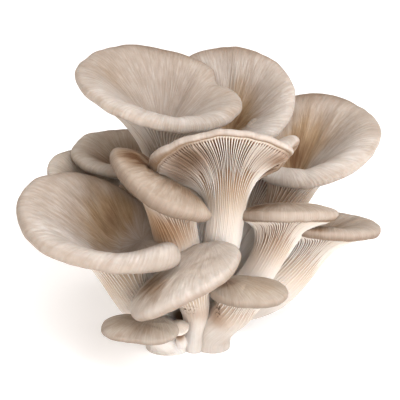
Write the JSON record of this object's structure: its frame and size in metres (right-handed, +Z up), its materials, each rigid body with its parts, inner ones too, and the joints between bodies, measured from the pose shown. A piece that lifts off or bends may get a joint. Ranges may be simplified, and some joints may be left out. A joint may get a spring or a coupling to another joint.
{
  "type": "oyster mushroom cluster",
  "caption": "Free-standing cluster of oyster mushrooms: funnel-shaped and domed caps with gills running down curved stems that grow from one flat-cut butt.",
  "frame": {"origin": "middle of the flat cut under the stems, on the plane that the cluster stands on", "axes": "+Z up, +X to the right and +Y away, seen from the front, where the tilted trumpet shows its gills"},
  "size_m": [0.1801, 0.1551, 0.1387],
  "materials": {
    "fawn_skin": "satin, fine radial fibres",
    "beige_skin": "satin, fine radial fibres",
    "tan_skin": "satin, fine radial fibres",
    "ivory_flesh": "matt, fine lengthwise fibres"
  },
  "bodies": {
    "root": {"cap_front_centre": "beige_skin", "cap_front_right": "tan_skin", "cap_front_left": "tan_skin", "funnel_left": "fawn_skin", "cap_middle_left": "beige_skin", "trumpet_centre": "fawn_skin", "cap_right_upper": "beige_skin", "cap_right_lower": "beige_skin", "funnel_top_left": "fawn_skin", "funnel_top_back": "fawn_skin", "funnel_right": "fawn_skin", "cap_far_left": "tan_skin", "cap_back_left": "tan_skin", "cap_rear_right": "tan_skin", "cap_rear_left": "beige_skin", "cap_rear_low": "tan_skin", "pin_front": "ivory_flesh", "pin_left": "tan_skin", "pin_rear": "tan_skin", "butt": "ivory_flesh"}
  },
  "joints": []
}
